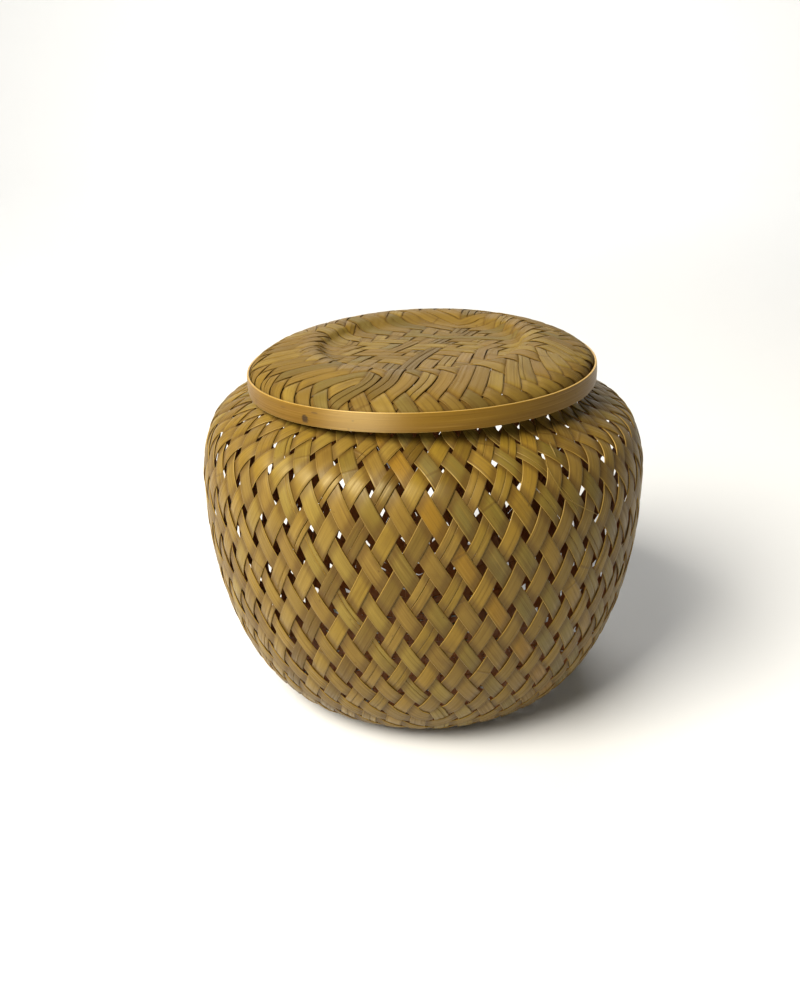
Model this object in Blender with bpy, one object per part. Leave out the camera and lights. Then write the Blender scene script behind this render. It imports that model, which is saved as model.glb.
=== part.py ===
"""Round bamboo box: an open-plaited basket body with a loose, close-plaited lid.

The body is one square mat of 26 by 26 splints whose four corners are drawn up into a round wall, so
every splint runs from the rim down the wall, across the flat base and up to the rim again. Its ends
are held between two bent hoops, which make the collar that the lid slips over. The lid is a plaited
cap with a raised ring and a sunken middle, and its skirt is held between two hoops of its own.

Units are metres, +Z is up, and the origin is the middle of the base on the surface that it stands on.
The front of the box faces -Y.
"""

import itertools
import math

import bmesh
import bpy
import numpy as np
from mathutils import Matrix

# Driving sizes of the body
BODY_RADIUS = 0.1100
BASE_RADIUS = 0.0580
BELLY_HEIGHT = 0.1025
NECK_RADIUS = 0.0753
NECK_HEIGHT = 0.1578
COLLAR_TOP = 0.1660

# Driving sizes of the splints and of their plait
SPLINTS_EACH_WAY = 26
SPLINT_WIDTH = 0.0073
SPLINT_THICKNESS = 0.00055
WEAVE_RISE = 0.00088
BASE_PITCH = 0.00784
LEAN_AT_BASE = math.radians(57.0)
LEAN_ON_WALL = math.radians(60.8)
ROWS_TO_FULL_LEAN = 3.0
TWIST_PER_ROW = math.radians(-0.35)
TURN_OF_PLAIT = math.radians(1.9)
LAST_CROSSING_ROW = 13
WIDEST_SHARE_OF_PITCH = 0.79
FLAT_CROSSINGS_REACH = 3.6
FLAT_CROSSING_LENGTH = 0.5
CORNER_PINCH = 0.66
END_TAPERS = (0.80, 0.42, 0.42)
END_BELOW_RIM = 0.0006

# Driving sizes of the hoops and of the lid
HOOP_SIDES = 32
INNER_HOOP = (0.0720, 0.0735)
OUTER_HOOP = (0.0778, 0.0791)
HOOP_FOOT = 0.1608
SHARP_EDGE = math.radians(35.0)
LID_INNER_HOOP = (0.0804, 0.0816)
SKIRT_RADIUS = 0.08255
LID_OUTER_HOOP = (0.0835, 0.0848)
LID_FOOT = 0.1592
LID_HOOP_HEIGHT = 0.0088
LID_INNER_FOOT_RISE = 0.0030
LID_INNER_TOP_DROP = 0.0012
SKIRT_FOOT_RISE = 0.0015
SKIRT_TOP_DROP = 0.0003
CAP_THICKNESS = 0.0013
RIDGE_HEIGHT = 0.17785
RIDGE_RADIUS = 0.0560
RECESS_RADIUS = 0.0480
RECESS_DEPTH = 0.0045

# How the lid sits: cocked with its right side up, a little to the left, and with its hoop warped
# like a saddle, lower at the sides than at the front and the back
LID_TILT = math.radians(2.1)
LID_SHIFT = -0.0008
LID_WARP = 0.0010

HALF = SPLINTS_EACH_WAY // 2
STEP = math.radians(90.0) / HALF
MID_HEIGHT = WEAVE_RISE + SPLINT_THICKNESS / 2

# Radius and height of the middle of the wall above its own lowest level, from the middle of the
# flat base, over the belly and the shoulder, to the top of the collar
WALL_OUTLINE = (
    (0.0, 0.0),
    (BASE_RADIUS, 0.0),
    (0.0700, 0.0016),
    (0.0792, 0.0058),
    (0.0892, 0.0177),
    (0.0999, 0.0419),
    (0.1067, 0.0722),
    (BODY_RADIUS - MID_HEIGHT, BELLY_HEIGHT),
    (0.1073, 0.1268),
    (0.1013, 0.1415),
    (0.0870, 0.1502),
    (0.0798, 0.1533),
    (NECK_RADIUS, NECK_HEIGHT),
    (NECK_RADIUS, COLLAR_TOP),
)

# Radius and height of the middle of the lid's plait, from the foot of the skirt, over the dome and
# its ridge, down into the sunken middle
LID_OUTLINE = (
    (SKIRT_RADIUS, LID_FOOT + SKIRT_FOOT_RISE),
    (SKIRT_RADIUS, LID_FOOT + LID_HOOP_HEIGHT - SKIRT_TOP_DROP),
    (0.0796, 0.1702),
    (0.0742, 0.1730),
    (0.0660, 0.1755),
    (RIDGE_RADIUS + 0.0030, RIDGE_HEIGHT - 0.0004),
    (RIDGE_RADIUS - 0.0030, RIDGE_HEIGHT),
    (RECESS_RADIUS + 0.0012, RIDGE_HEIGHT - 0.0012),
    (RECESS_RADIUS, RIDGE_HEIGHT - RECESS_DEPTH + 0.0012),
    (RECESS_RADIUS - 0.0045, RIDGE_HEIGHT - RECESS_DEPTH),
    (0.0, RIDGE_HEIGHT - RECESS_DEPTH),
)

MATERIALS = {
    "bamboo_splint": ((0.52, 0.36, 0.13, 1.0), 0.55),
    "bamboo_lid_plait": ((0.50, 0.37, 0.17, 1.0), 0.60),
    "bamboo_hoop": ((0.62, 0.36, 0.08, 1.0), 0.32),
}


def clear_scene():
    """Remove every object, so that the model starts from nothing."""
    for thing in list(bpy.data.objects):
        bpy.data.objects.remove(thing, do_unlink=True)


def material(name):
    """The Principled material of that name, made the first time that it is asked for."""
    found = bpy.data.materials.get(name)
    if found:
        return found
    colour, roughness = MATERIALS[name]
    made = bpy.data.materials.new(name)
    made.use_nodes = True
    shader = made.node_tree.nodes["Principled BSDF"]
    shader.inputs["Base Color"].default_value = colour
    shader.inputs["Roughness"].default_value = roughness
    shader.inputs["Metallic"].default_value = 0.0
    made.diffuse_color = colour
    return made


def add_object(name, bm, material_name):
    """Turn a bmesh into a named object, with its faces pointing out."""
    bmesh.ops.recalc_face_normals(bm, faces=bm.faces)
    mesh = bpy.data.meshes.new(name)
    bm.to_mesh(mesh)
    bm.free()
    mesh.materials.append(material(material_name))
    thing = bpy.data.objects.new(name, mesh)
    bpy.context.scene.collection.objects.link(thing)
    return thing


def smooth_outline(points, samples=40):
    """A Catmull-Rom curve through the points, whose first stretch stays straight."""
    p = np.array(points)
    before = np.vstack([p[0], p[:-1]])
    after = np.vstack([p[1:], p[-1]])
    length = np.hypot(*(p[1:] - p[:-1]).T)
    back = np.concatenate([[length[0]], length])
    front = np.concatenate([length, [length[-1]]])
    slope_back = (p - before) / back[:, None]
    slope_front = (after - p) / front[:, None]
    tangent = (slope_back * front[:, None] + slope_front * back[:, None]) / (back + front)[:, None]
    tangent[0] = slope_front[0]
    tangent[1] = slope_front[0]
    tangent[-1] = slope_back[-1]
    curve = [p[:1]]
    for i, span in enumerate(length):
        t = np.linspace(0.0, 1.0, samples + 1)[1:, None]
        curve.append(
            (2 * t**3 - 3 * t**2 + 1) * p[i]
            + (t**3 - 2 * t**2 + t) * span * tangent[i]
            + (3 * t**2 - 2 * t**3) * p[i + 1]
            + (t**3 - t**2) * span * tangent[i + 1]
        )
    return np.vstack(curve)


class Wall:
    """The mid-surface of the plait, measured by the distance along it from the middle of the base."""

    def __init__(self):
        self.outline = smooth_outline(WALL_OUTLINE)
        self.outline[:, 1] += MID_HEIGHT
        steps = np.hypot(*np.diff(self.outline, axis=0).T)
        self.along = np.concatenate([[0.0], np.cumsum(steps)])
        self.row, self.row_distance = self.rows()

    def rows(self):
        """Distance of each row of crossings: a row climbs as far as the splint's lean makes it.

        The rows run on for two more than the collar holds, straight up.
        """
        row, distance, fine = 0.0, HALF * BASE_PITCH, 0.02
        rows, distances = [row], [distance]
        while distance < self.along[-1] + 2 * BASE_PITCH:
            radius = np.interp(distance, self.along, self.outline[:, 0])
            lean = LEAN_AT_BASE + (LEAN_ON_WALL - LEAN_AT_BASE) * min(row / ROWS_TO_FULL_LEAN, 1.0)
            distance += fine * math.tan(lean) * radius * STEP / 2
            row += fine
            rows.append(row)
            distances.append(distance)
        return np.array(rows), np.array(distances)

    def row_at(self, height):
        """The row, counted in fractions, at a height on the collar."""
        distance = self.along[-1] - (self.outline[-1, 1] - height)
        return float(np.interp(distance, self.row_distance, self.row))

    def radius_and_height(self, distance):
        """The wall's section: its radius and height at a distance from the middle of the base."""
        above = np.maximum(distance - self.along[-1], 0.0)
        radius = np.interp(distance, self.along, self.outline[:, 0])
        return radius, np.interp(distance, self.along, self.outline[:, 1]) + above

    def turn_and_distance(self, x, y, corner):
        """Angle round the box, and distance from the middle of the base, of mat position x, y.

        x and y count splints from the middle of the mat. On the base the splints run straight near
        the middle, and their rings grow round towards the edge. Past the mat's edge a splint keeps
        its own number, and its other coordinate counts on up the wall. corner holds the signs of x
        and y in the corner of the mat that is drawn up there.
        """
        across, deep = x * corner[0], y * corner[1]
        row = across + deep - HALF
        ring = np.abs(across) + np.abs(deep)
        share = np.clip(ring / HALF, 0.0, 1.0)
        blend = share * share * (3 - 2 * share)
        on_base = BASE_PITCH * ((1 - blend) * np.hypot(x, y) + blend * ring)
        distance = np.where(row < 0, on_base, np.interp(row, self.row, self.row_distance))
        round_turn = np.arctan2(np.abs(deep), np.abs(across))
        square_turn = math.radians(90) * np.abs(deep) / ring
        turn_on_base = (1 - blend) * round_turn + blend * square_turn
        turn_on_base = np.where(across < 0, math.pi - turn_on_base, turn_on_base)
        turn_on_base = np.where(deep < 0, -turn_on_base, turn_on_base)
        turn = np.where(row < 0, turn_on_base, STEP * (deep + HALF - across) / 2)
        turn = np.where(corner[0] < 0, math.pi - turn, turn)
        turn = np.where(corner[1] < 0, -turn, turn)
        return turn + TURN_OF_PLAIT + TWIST_PER_ROW * np.maximum(row, 0.0), distance

    def point(self, x, y, corner):
        """The point of the mid-surface at mat position x, y."""
        turn, distance = self.turn_and_distance(x, y, corner)
        radius, height = self.radius_and_height(distance)
        return np.stack([radius * np.cos(turn), radius * np.sin(turn), height], axis=-1)

    def outward(self, x, y, corner):
        """The direction square to the mid-surface, away from the inside, at mat position x, y."""
        turn, distance = self.turn_and_distance(x, y, corner)
        tiny = BASE_PITCH / 20
        low_radius, low = self.radius_and_height(distance - tiny)
        high_radius, high = self.radius_and_height(distance + tiny)
        run, rise = high_radius - low_radius, high - low
        size = np.hypot(run, rise)
        return np.stack([rise / size * np.cos(turn), rise / size * np.sin(turn), -run / size], axis=-1)


def splint_stations(wall, number, crosswise):
    """Where one splint is measured along its length, on which side of the plait, and how wide it is.

    number is the splint's place in the mat, in half steps from its middle. A station lies at each
    crossing, and three more at each end, where the splint narrows to pass between the rim's hoops.
    Near the middle of the base, a crossing that faces the floor has two stations, so that the
    splint lies flat there. At the four corners of the mat, where the outermost splints turn up
    into the wall, they are pinched.
    """
    reach = HALF + LAST_CROSSING_ROW - abs(number)
    stations = []
    for crossing in np.arange(-reach, reach + 0.5):
        outer = (math.floor(crossing) + math.floor(number)) % 2 == int(crosswise)
        flat = outer and math.hypot(crossing, number) < FLAT_CROSSINGS_REACH
        shifts = (-FLAT_CROSSING_LENGTH / 2, FLAT_CROSSING_LENGTH / 2) if flat else (0.0,)
        at_mat_corner = {abs(crossing), abs(number)} == {0.5, HALF - 0.5}
        width = CORNER_PINCH if at_mat_corner else 1.0
        stations += [(crossing + shift, 1.0 if outer else -1.0, width) for shift in shifts]
    first_side, last_side = stations[0][1], stations[-1][1]
    end_rows = (
        LAST_CROSSING_ROW + 1,
        wall.row_at(NECK_HEIGHT + MID_HEIGHT),
        wall.row_at(COLLAR_TOP - END_BELOW_RIM),
    )
    for row, taper in zip(end_rows, END_TAPERS):
        end = HALF + row - abs(number)
        stations.insert(0, (-end, first_side, taper))
        stations.append((end, last_side, taper))
    return np.array(stations).T


def splint_sections(wall, number, crosswise):
    """Three corners of the splint at each station: the two edges of its skin and its inner ridge.

    A splint lies flat across its width. Where the wall bends, the one of a crossing pair that lies
    on the hollow side of the bend gives way by as much as the bend drops within its half width.
    No corner lies below the floor.
    """
    along, side, taper = splint_stations(wall, number, crosswise)
    signs = (np.sign(number), np.sign(along)) if crosswise else (np.sign(along), np.sign(number))

    def at(shift_along, shift_across, measure=wall.point):
        """The mid-surface, or the direction square to it, beside the stations."""
        run, across = along + shift_along, np.full_like(along, number + shift_across)
        return measure(across, run, signs) if crosswise else measure(run, across, signs)

    tiny = 0.01
    forward = (at(tiny, 0.0) - at(-tiny, 0.0)) / (2 * tiny)
    sideways = (at(0.0, tiny) - at(0.0, -tiny)) / (2 * tiny)
    spread = np.linalg.norm(np.cross(forward, sideways), axis=1)
    pitch = spread / np.linalg.norm(forward, axis=1)
    share = (taper * np.minimum(SPLINT_WIDTH / pitch, WIDEST_SHARE_OF_PITCH) / 2)[:, None]
    middle = at(0.0, 0.0)
    out = at(0.0, 0.0, wall.outward)
    left, right = at(0.0, -1.0), at(0.0, 1.0)
    half_width = share * (right - left) / 2
    bend = np.sum((middle - (left + right) / 2) * out, axis=1, keepdims=True)
    inside = (side < 0)[:, None]
    middle = middle - share * out * np.where(inside, np.maximum(bend, 0.0), np.minimum(bend, 0.0))
    skin = middle + out * (side * WEAVE_RISE + SPLINT_THICKNESS / 2)[:, None]
    ridge = middle + out * (side * WEAVE_RISE - SPLINT_THICKNESS / 2)[:, None]
    corners = np.stack([skin - half_width, skin + half_width, ridge], axis=1)
    corners[..., 2] = np.maximum(corners[..., 2], 0.0)
    return corners


def thinnest_part(near, far, order):
    """Of the three tetrahedra that carry a section's corners on to the next section, one corner
    after another in this order, the volume of the thinnest. It is negative for one turned inside out."""
    corners, volumes = near.copy(), []
    for corner in order:
        edges = np.stack([corners[1] - corners[0], corners[2] - corners[0], far[corner] - corners[0]])
        volumes.append(np.linalg.det(edges) / 6)
        corners[corner] = far[corner]
    return min(volume * np.sign(sum(volumes)) for volume in volumes)


def loft(sections):
    """Skin closed three-cornered sections one after another and close both ends.

    The splint twists from section to section, so each side of a stretch is split into two
    triangles. They are the outer faces of the three tetrahedra that fill the stretch best, so the
    skin and the ridge never cut through each other.
    """
    bm = bmesh.new()
    rings = [[bm.verts.new(corner) for corner in section] for section in sections]
    for near, far, ring, following in zip(sections, sections[1:], rings, rings[1:]):
        order = max(itertools.permutations(range(3)), key=lambda order: thinnest_part(near, far, order))
        for first, later in itertools.combinations(order, 2):
            bm.faces.new((ring[first], ring[later], following[first]))
            bm.faces.new((ring[later], following[later], following[first]))
    bm.faces.new(rings[0])
    bm.faces.new(rings[-1])
    return bm


def add_splints(wall):
    """Plait the body: warp splints run along X on the base, and weft splints along Y."""
    numbers = [i + 0.5 for i in range(-HALF, HALF)]
    for crosswise, kind in ((False, "warp"), (True, "weft")):
        for count, number in enumerate(numbers, start=1):
            sections = splint_sections(wall, number, crosswise)
            add_object(f"{kind}_splint_{count:02d}", loft(sections), "bamboo_splint")


def turned(outline):
    """Turn a closed outline of radius and height about Z. Its points on the axis become poles."""
    on_axis = 1e-6
    bm = bmesh.new()
    corners = [bm.verts.new((radius, 0.0, height)) for radius, height in outline]
    for first, second in zip(corners, corners[1:] + corners[:1]):
        if max(first.co.x, second.co.x) > on_axis:
            bm.edges.new((first, second))
    bmesh.ops.spin(
        bm,
        geom=bm.verts[:] + bm.edges[:],
        cent=(0, 0, 0),
        axis=(0, 0, 1),
        angle=math.tau,
        steps=HOOP_SIDES,
        use_merge=True,
        use_duplicate=False,
    )
    bmesh.ops.remove_doubles(bm, verts=bm.verts[:], dist=on_axis)
    return bm


def shade_round(thing):
    """Shade a turned piece smooth, and keep its true edges sharp."""
    thing.data.shade_smooth()
    thing.data.set_sharp_from_angle(angle=SHARP_EDGE)


def add_hoop(name, radii, foot, top):
    """A bent hoop: a flat strip of bamboo closed into a ring."""
    inner, outer = radii
    hoop = turned([(inner, foot), (outer, foot), (outer, top), (inner, top)])
    return add_object(name, hoop, "bamboo_hoop")


def offset_outline(points, distance):
    """An outline's points moved square to it, to its left, so that each stretch moves by the distance."""
    p = np.array(points)
    along = np.diff(p, axis=0)
    along /= np.hypot(*along.T)[:, None]
    square = np.stack([-along[:, 1], along[:, 0]], axis=-1)
    before, after = np.vstack([square[:1], square]), np.vstack([square, square[-1:]])
    return p + distance * (before + after) / (1 + np.sum(before * after, axis=1, keepdims=True))


def warp(mesh):
    """Bend a turned piece of the lid into a shallow saddle, which fades towards the middle.

    At the hoop, the sides sink and the front and the back rise by the lid's warp.
    """
    reach = LID_OUTER_HOOP[1]
    for vertex in mesh.vertices:
        x, y = vertex.co.x / reach, vertex.co.y / reach
        vertex.co.z -= LID_WARP * (x * x - y * y) * (x * x + y * y)


def add_lid():
    """The lid's three pieces, on one empty that stands on the line that the lid lifts along."""
    top = LID_FOOT + LID_HOOP_HEIGHT
    seat = LID_FOOT + LID_HOOP_HEIGHT / 2
    lift = bpy.data.objects.new("lid_lift_axis", None)
    lift.location = (0.0, 0.0, seat)
    bpy.context.scene.collection.objects.link(lift)
    upper = offset_outline(LID_OUTLINE, -CAP_THICKNESS / 2).tolist()
    under = offset_outline(LID_OUTLINE, CAP_THICKNESS / 2).tolist()
    pieces = [
        add_object("lid_plait", turned(upper + under[::-1]), "bamboo_lid_plait"),
        add_hoop("lid_outer_hoop", LID_OUTER_HOOP, LID_FOOT, top),
        add_hoop(
            "lid_inner_hoop", LID_INNER_HOOP, LID_FOOT + LID_INNER_FOOT_RISE, top - LID_INNER_TOP_DROP
        ),
    ]
    for piece in pieces:
        warp(piece.data)
        piece.data.transform(Matrix.Translation((0.0, 0.0, -seat)))
        piece.parent = lift
        piece.location = (LID_SHIFT, 0.0, 0.0)
        piece.rotation_euler = (0.0, -LID_TILT, 0.0)
        shade_round(piece)


def main():
    """Build the box."""
    clear_scene()
    wall = Wall()
    add_splints(wall)
    shade_round(add_hoop("rim_inner_hoop", INNER_HOOP, HOOP_FOOT, COLLAR_TOP))
    shade_round(add_hoop("rim_outer_hoop", OUTER_HOOP, HOOP_FOOT, COLLAR_TOP))
    add_lid()


main()
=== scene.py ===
"""Looks of the round bamboo box: every splint, hoop and loose fibre as a surface of its own.

The body is one square mat of splints whose corners are drawn up into the wall, and the lid is a
second such mat. Both are worked out from the same description: a mat position is carried to a
place on a round form, and a splint is a rounded strip that rides over and under the ones it
crosses. Splints and hoops take the place of the CAD model's plain solids, and every piece rides on
its CAD body.
"""

import logging
import math
from collections.abc import Callable, Iterator
from dataclasses import dataclass, replace
from enum import Enum
from functools import cached_property

import bpy
import numpy as np
from numpy.typing import NDArray
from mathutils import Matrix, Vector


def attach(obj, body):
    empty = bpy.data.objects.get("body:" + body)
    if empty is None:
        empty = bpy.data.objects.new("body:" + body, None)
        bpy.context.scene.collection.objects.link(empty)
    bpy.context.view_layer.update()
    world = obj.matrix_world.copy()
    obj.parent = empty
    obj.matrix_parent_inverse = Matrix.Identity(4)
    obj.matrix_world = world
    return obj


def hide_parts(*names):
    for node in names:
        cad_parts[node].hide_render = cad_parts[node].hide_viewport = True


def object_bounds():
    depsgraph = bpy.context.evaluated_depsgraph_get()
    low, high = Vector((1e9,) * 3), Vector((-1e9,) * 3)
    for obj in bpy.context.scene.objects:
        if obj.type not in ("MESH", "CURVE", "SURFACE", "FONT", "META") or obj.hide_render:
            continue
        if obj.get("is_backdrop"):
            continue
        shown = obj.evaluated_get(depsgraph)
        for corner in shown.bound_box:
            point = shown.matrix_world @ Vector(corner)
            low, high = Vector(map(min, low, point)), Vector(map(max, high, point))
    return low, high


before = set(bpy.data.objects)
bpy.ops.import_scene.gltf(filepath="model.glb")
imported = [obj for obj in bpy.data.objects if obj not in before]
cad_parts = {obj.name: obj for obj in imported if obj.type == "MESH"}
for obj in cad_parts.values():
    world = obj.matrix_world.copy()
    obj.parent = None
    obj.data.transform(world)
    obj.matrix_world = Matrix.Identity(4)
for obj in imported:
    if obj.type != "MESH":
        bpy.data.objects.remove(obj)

logging.basicConfig(level=logging.INFO, format="%(message)s")
log = logging.getLogger("bamboo_box")

Floats = NDArray[np.float64]
Ints = NDArray[np.int64]
Flags = NDArray[np.bool_]
Colour = tuple[float, float, float]
Place = tuple[float, float, float]
Corner = tuple[Floats, Floats]
Measure = Callable[[Floats, Floats, Corner], Floats]
Socket = bpy.types.NodeSocket

RIGHT_ANGLE = math.radians(90.0)

# How much splints of one tone differ: in lightness, in each part of their colour, and at the most
LIGHTNESS_SPREAD = 0.10
PART_SPREAD = 0.015
SHADE_LIMITS = (0.75, 1.3)

# Metres of bamboo from which the splints are cut, so that no two have the same streaks
FIBRE_SPAN = 5.0


def linear(red: int, green: int, blue: int) -> Colour:
    """The linear colour of an sRGB colour.

    Each share of 255 is divided by 12.92 up to 0.04045, and above it becomes
    ((share + 0.055) / 1.055) to the power of 2.4.

    Args:
        red: Red, from 0 to 255.
        green: Green, from 0 to 255.
        blue: Blue, from 0 to 255.

    Returns:
        The three linear values, from 0 to 1.
    """
    share = np.array([red, green, blue]) / 255.0
    bent = np.where(share < 0.04045, share / 12.92, ((share + 0.055) / 1.055) ** 2.4)
    return tuple(float(value) for value in bent)


class Tone(Enum):
    """What one splint looks like beside its neighbours."""

    STRAW = linear(127, 104, 42)
    HONEY = linear(121, 94, 29)
    TAN = linear(114, 89, 34)
    OLIVE = linear(102, 84, 30)
    BROWN = linear(92, 71, 22)
    ORANGE = linear(116, 84, 20)
    GREY = linear(98, 83, 38)

    def shaded(self, rng: np.random.Generator) -> Colour:
        """The tone a little lighter or darker, with its three parts very slightly uneven.

        Args:
            rng: Where the chance comes from.

        Returns:
            The colour.
        """
        lightness = rng.normal(1.0, LIGHTNESS_SPREAD)
        spread = lightness * rng.normal(1.0, PART_SPREAD, 3)
        return tuple(float(value) for value in np.array(self.value) * spread.clip(*SHADE_LIMITS))


class Side(Enum):
    """Which way a splint lies in its mat."""

    WARP = "warp"
    WEFT = "weft"


# Shapes that several pieces share


def superellipse(count: int, power: float) -> tuple[Floats, Floats]:
    """A rounded rectangle: the signed powers of the cosine and the sine of a turning angle.

    Args:
        count: Points around it.
        power: From 1, an ellipse, down to 0, a rectangle.

    Returns:
        Its points' places across and up, each from -1 to 1.
    """
    turn = np.arange(count) * math.tau / count
    across, up = np.cos(turn), np.sin(turn)
    return np.sign(across) * np.abs(across) ** power, np.sign(up) * np.abs(up) ** power


def turned(radius: Floats, turn: Floats, height: Floats) -> Floats:
    """The places at a radius, an angle and a height: (r cos a, r sin a, z)."""
    return np.stack(np.broadcast_arrays(radius * np.cos(turn), radius * np.sin(turn), height), axis=-1)


def smooth_step(share: Floats) -> Floats:
    """A share that leaves 0 and reaches 1 without a corner: 3t^2 - 2t^3, with t held from 0 to 1."""
    held = np.clip(share, 0.0, 1.0)
    return held * held * (3 - 2 * held)


def hidden_share(up: Floats, gain: float) -> Floats:
    """How far a section's points lie on its hidden side: gain times their depth, held from 0 to 1."""
    return np.clip(-up * gain, 0.0, 1.0)


def run_along(points: Floats) -> Floats:
    """The distance along a line of points: the running sum of the steps between them."""
    return np.concatenate([[0.0], np.cumsum(np.linalg.norm(np.diff(points, axis=0), axis=1))])


def quads_between(rings: int, ring: int) -> Ints:
    """The quads of a tube: each joins two neighbours on a ring to the two on the next ring.

    Args:
        rings: Rings one after another.
        ring: Points around each; the last one is the first one's neighbour.

    Returns:
        The numbers of their corners, in the shape (count, 4).
    """
    first = np.arange(rings - 1)[:, None] * ring + np.arange(ring)
    second = np.arange(rings - 1)[:, None] * ring + (np.arange(ring) + 1) % ring
    return np.stack([first, second, second + ring, first + ring], axis=-1).reshape(-1, 4)


@dataclass(frozen=True)
class Wave:
    """A smooth random wave: half the sum of three sines of similar periods.

    Attributes:
        strength: About how far it goes to either side of zero.
        period: The middle one of its periods.
    """

    strength: float
    period: float

    def values(self, along: Floats, rng: np.random.Generator) -> Floats:
        """Its values along something.

        Args:
            along: Where they are wanted.
            rng: Where the periods and the sines' starts come from.

        Returns:
            The values.
        """
        shortest, longest = 0.55, 1.7
        periods = self.period * rng.uniform(shortest, longest, 3)
        sines = np.sin(math.tau * along[:, None] / periods + rng.uniform(0, math.tau, 3))
        return self.strength * (sines.sum(axis=1) / 2)


@dataclass(frozen=True)
class Strip:
    """A long closed strip: rings of points one after another, with both ends shut.

    Attributes:
        points: Places, in the shape (stations, ring, 3).
        fibre: Distances across and along the fibres, in the shape (stations, ring, 2).
        edge: How near each point is to the strip's edge, from 0 to 1, in the shape (stations, ring).
        under: How far each point lies on the strip's hidden side, from 0 to 1.
        sunk: How far the strip has gone in under its neighbours there, from 0 to 1.
        tone: The strip's colour.
    """

    points: Floats
    fibre: Floats
    edge: Floats
    under: Floats
    sunk: Floats
    tone: Colour

    @property
    def faces(self) -> tuple[Ints, Ints]:
        """The faces, which look outwards.

        Returns:
            The quads between the rings, in the shape (count, 4), and the two end faces.
        """
        stations, ring = self.points.shape[:2]
        quads = quads_between(stations, ring)
        ends = np.stack([np.arange(ring)[::-1], np.arange(ring) + (stations - 1) * ring])
        if self.volume(quads, ends) < 0:
            quads, ends = quads[:, ::-1], ends[:, ::-1]
        return quads, ends

    def volume(self, quads: Ints, ends: Ints) -> float:
        """What the strip holds: a sixth of the sum of each triangle's triple product.

        Args:
            quads: The faces along the strip.
            ends: The faces that shut it.

        Returns:
            Its volume, which is below zero where the faces point inwards.
        """
        place = self.points.reshape(-1, 3)
        fans = np.stack([np.broadcast_to(ends[:, :1], ends[:, 2:].shape), ends[:, 1:-1], ends[:, 2:]], -1)
        triangles = np.concatenate([quads[:, [0, 1, 2]], quads[:, [0, 2, 3]], fans.reshape(-1, 3)])
        a, b, c = (place[triangles[:, i]] for i in range(3))
        return float(np.einsum("ij,ij->i", a, np.cross(b, c)).sum() / 6)


@dataclass(frozen=True)
class Piece:
    """A piece of the visual model: strips that share one finish, tied to the CAD model.

    Attributes:
        name: Its name.
        strips: Its strips, each of which stays closed by itself.
        finish: Its material.
        body: The CAD body that it rides on.
        slot: The name of a material slot; it is not used.
        nodes: The CAD nodes that it stands for.
    """

    name: str
    strips: list[Strip]
    finish: bpy.types.Material
    body: str
    slot: str
    nodes: tuple[str, ...] = ()

    def mesh(self) -> bpy.types.Mesh:
        """One mesh of all the strips, with what the finishes read.

        Returns:
            The mesh, with a UV map of distances across and along the fibres and the attributes
            Tone, Edge, Under and Sunk.
        """
        corners: list[Ints] = []
        starts: list[Ints] = []
        sizes: list[Ints] = []
        first_vertex, first_loop = 0, 0
        for strip in self.strips:
            for polygons in strip.faces:
                corners.append((polygons + first_vertex).ravel())
                count, size = polygons.shape
                starts.append(first_loop + np.arange(count) * size)
                sizes.append(np.full(count, size))
                first_loop += count * size
            first_vertex += strip.edge.size
        corner = np.concatenate(corners)
        mesh = bpy.data.meshes.new(self.name)
        mesh.vertices.add(first_vertex)
        mesh.vertices.foreach_set("co", np.concatenate([s.points.ravel() for s in self.strips]))
        mesh.loops.add(len(corner))
        mesh.loops.foreach_set("vertex_index", corner)
        mesh.polygons.add(sum(len(s) for s in starts))
        mesh.polygons.foreach_set("loop_start", np.concatenate(starts))
        mesh.polygons.foreach_set("loop_total", np.concatenate(sizes))
        mesh.update(calc_edges=True)
        mesh.polygons.foreach_set("use_smooth", np.ones(len(mesh.polygons), bool))
        fibre = np.concatenate([s.fibre.reshape(-1, 2) for s in self.strips])
        mesh.uv_layers.new(name="Fibre").uv.foreach_set("vector", fibre[corner].ravel())
        tone = np.concatenate([np.tile((*s.tone, 1.0), s.edge.size) for s in self.strips])
        mesh.attributes.new("Tone", "FLOAT_COLOR", "POINT").data.foreach_set("color", tone)
        for label in ("edge", "under", "sunk"):
            values = np.concatenate([getattr(s, label).ravel() for s in self.strips])
            mesh.attributes.new(label.title(), "FLOAT", "POINT").data.foreach_set("value", values)
        return mesh

    def add(self) -> int:
        """Put the piece into the scene, with its object at the origin, and tie it to the CAD model.

        Returns:
            How many faces it has.
        """
        mesh = self.mesh()
        mesh.materials.append(self.finish)
        piece = bpy.data.objects.new(self.name, mesh)
        bpy.context.scene.collection.objects.link(piece)
        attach(piece, self.body)
        if self.nodes:
            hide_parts(*self.nodes)
        return len(mesh.polygons)


# Finishes


@dataclass(frozen=True)
class Grain:
    """Cloudy noise stretched along the fibres.

    Attributes:
        across: Repeats in a metre across the fibres.
        along: Repeats in a metre along them.
        detail: How many finer layers it has.
        rough: How strong those are, from 0 to 1.
        seed: A shift in metres that tells one noise from the next.
    """

    across: float
    along: float
    detail: float
    rough: float
    seed: float


@dataclass(frozen=True)
class Stain:
    """A colour that shows where a pattern has certain values.

    Attributes:
        pattern: The pattern's socket.
        start: The value at which the colour starts to show.
        full: The value at which it shows the most.
        share: How much of it shows there, from 0 to 1.
        colour: The colour.
    """

    pattern: Socket
    start: float
    full: float
    share: float
    colour: Colour


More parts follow.
